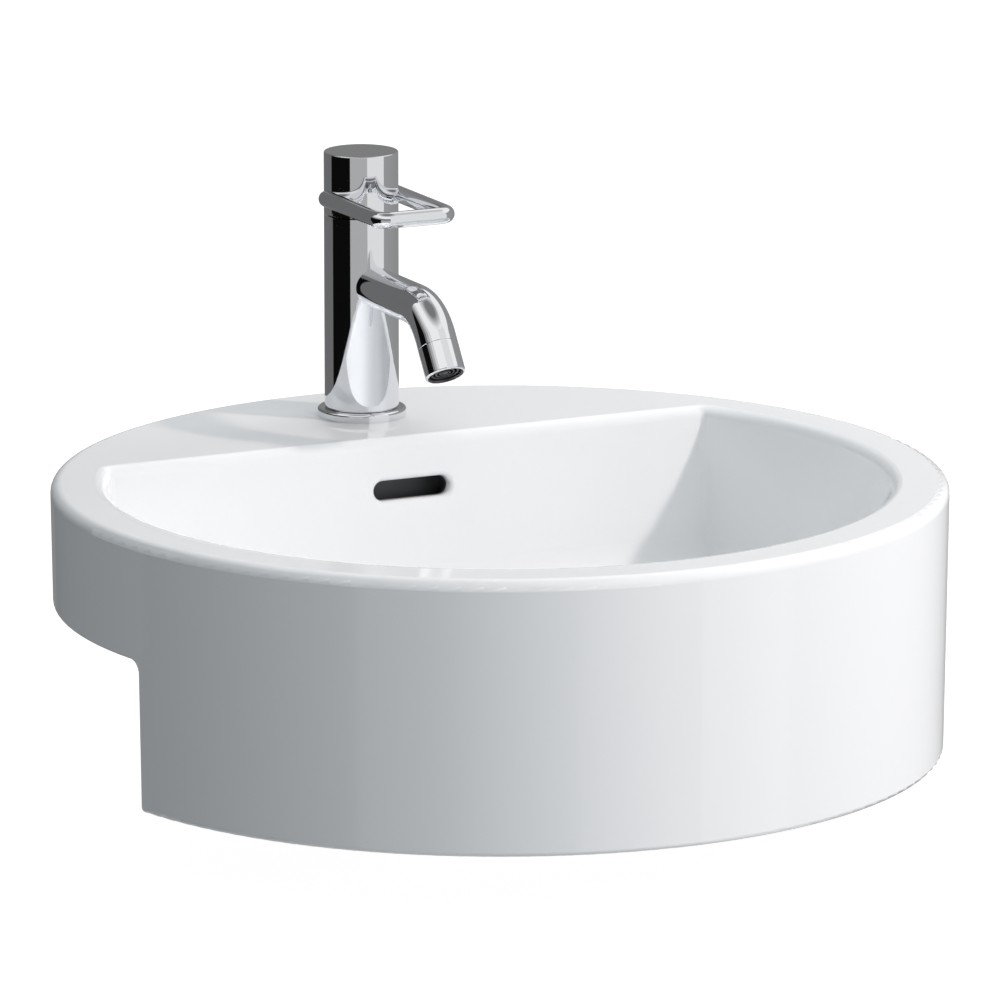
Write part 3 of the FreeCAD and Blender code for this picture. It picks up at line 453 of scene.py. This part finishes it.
def reflection_panel(number, start, end, low, high, first, last):
    """Upright curved card, drawn as strips that change evenly from one brightness to the other."""
    strips = max(1, round((end - start) / PANEL_STEP)) if first != last else 1
    for k in range(strips):
        a0 = start + (end - start) * k / strips
        a1 = start + (end - start) * (k + 1) / strips
        columns = max(1, round((a1 - a0) / PANEL_STEP))
        vertices, faces = [], []
        for c in range(columns + 1):
            ground = from_centre(a0 + (a1 - a0) * c / columns, 0, PANEL_DISTANCE)
            for e in (low, high):
                vertices.append(ground + Vector((0, 0, PANEL_DISTANCE * math.tan(math.radians(e)))))
        for c in range(columns):
            faces.append((2 * c, 2 * c + 2, 2 * c + 3, 2 * c + 1))
        card = mesh_object(f"panel_{number}_{k}", vertices, faces)
        material, _ = emitter(f"panel_glow_{number}_{k}", first + (last - first) * (k + 0.5) / strips)
        card.data.materials.append(material)
        only_glossy(card)


def ceiling():
    """Level card far above, white at its edge and dull in its middle, for glossy surfaces alone."""
    edge = PANEL_DISTANCE
    height = edge * math.tan(math.radians(CEILING_FROM))
    middle = height / math.tan(math.radians(CEILING_DULL_FROM))
    lift = Vector((0, 0, height))
    corners = [from_centre(azimuth, 0, edge * math.sqrt(2)) + lift for azimuth in (45, 135, 225, 315)]
    card = mesh_object("ceiling", corners, [(0, 1, 2, 3)])
    material, glow = emitter("ceiling_glow", CEILING_EDGE_GLOW)
    nodes, links = material.node_tree.nodes, material.node_tree.links
    where = nodes.new("ShaderNodeTexCoord")
    level = nodes.new("ShaderNodeVectorMath")
    level.operation = "MULTIPLY"
    level.inputs[1].default_value = (1.0, 1.0, 0.0)
    radius = nodes.new("ShaderNodeVectorMath")
    radius.operation = "LENGTH"
    links.new(where.outputs["Object"], level.inputs[0])
    links.new(level.outputs["Vector"], radius.inputs[0])
    limits = {"From Min": middle, "From Max": edge, "To Min": CEILING_GLOW, "To Max": CEILING_EDGE_GLOW}
    links.new(map_range(nodes, links, radius.outputs["Value"], limits), glow.inputs["Strength"])
    card.data.materials.append(material)
    only_glossy(card)


def floor():
    """Pale floor for the camera alone, with a glow that keeps it white and a matt layer over it."""
    h = FLOOR_HALF
    piece = mesh_object("floor", [(-h, -h, 0), (h, -h, 0), (h, h, 0), (-h, h, 0)], [(0, 1, 2, 3)])
    material, nodes, links = node_material("pale_floor")
    nodes.remove(nodes["Principled BSDF"])
    matt = nodes.new("ShaderNodeBsdfDiffuse")
    matt.inputs["Color"].default_value = (FLOOR_MATT, FLOOR_MATT, FLOOR_MATT, 1)
    glow = nodes.new("ShaderNodeEmission")
    glow.inputs["Strength"].default_value = FLOOR_GLOW
    both = nodes.new("ShaderNodeAddShader")
    links.new(glow.outputs[0], both.inputs[0])
    links.new(matt.outputs[0], both.inputs[1])
    links.new(both.outputs[0], nodes["Material Output"].inputs["Surface"])
    piece.data.materials.append(material)
    piece.visible_diffuse = False
    piece.visible_glossy = False
    piece.visible_shadow = False          # the low lamp, which stands for light off the floor, passes it


def background(nodes, tint, strength):
    node = nodes.new("ShaderNodeBackground")
    node.inputs["Color"].default_value = (*tint, 1)
    node.inputs["Strength"].default_value = strength
    return node


def build_world():
    """White to the camera and in mirrors, and a dim even light on matt surfaces."""
    world = bpy.data.worlds.new("studio")
    world.use_nodes = True
    nodes, links = world.node_tree.nodes, world.node_tree.links
    nodes.clear()
    out = nodes.new("ShaderNodeOutputWorld")
    rays = nodes.new("ShaderNodeLightPath")
    seen = background(nodes, BACKGROUND_TINT, BACKGROUND)
    room = background(nodes, ROOM_TINT, ROOM_LIGHT)
    looked_at = rays.outputs["Is Camera Ray"]
    for kind in ("Is Glossy Ray", "Is Transmission Ray"):
        looked_at = math_node(nodes, links, "MAXIMUM", looked_at, rays.outputs[kind])
    mix = nodes.new("ShaderNodeMixShader")
    links.new(looked_at, mix.inputs["Fac"])
    links.new(room.outputs[0], mix.inputs[1])
    links.new(seen.outputs[0], mix.inputs[2])
    links.new(mix.outputs[0], out.inputs["Surface"])
    bpy.context.scene.world = world


for name, settings in LAMPS.items():
    softbox(name, *settings)
for number, settings in enumerate(PANELS):
    reflection_panel(number, *settings)
ceiling()
floor()
build_world()

camera = bpy.data.objects.new("camera", bpy.data.cameras.new("camera"))
camera.data.lens = CAMERA_LENS
camera.data.sensor_width = CAMERA_SENSOR
camera.data.clip_end = CAMERA_SEES_TO
camera.location = CAMERA_AT
camera.rotation_euler = (Vector(CAMERA_LOOKS_AT) - Vector(CAMERA_AT)).to_track_quat("-Z", "Y").to_euler()
bpy.context.scene.collection.objects.link(camera)
bpy.context.scene.camera = camera

bpy.context.scene.view_settings.view_transform = "Standard"
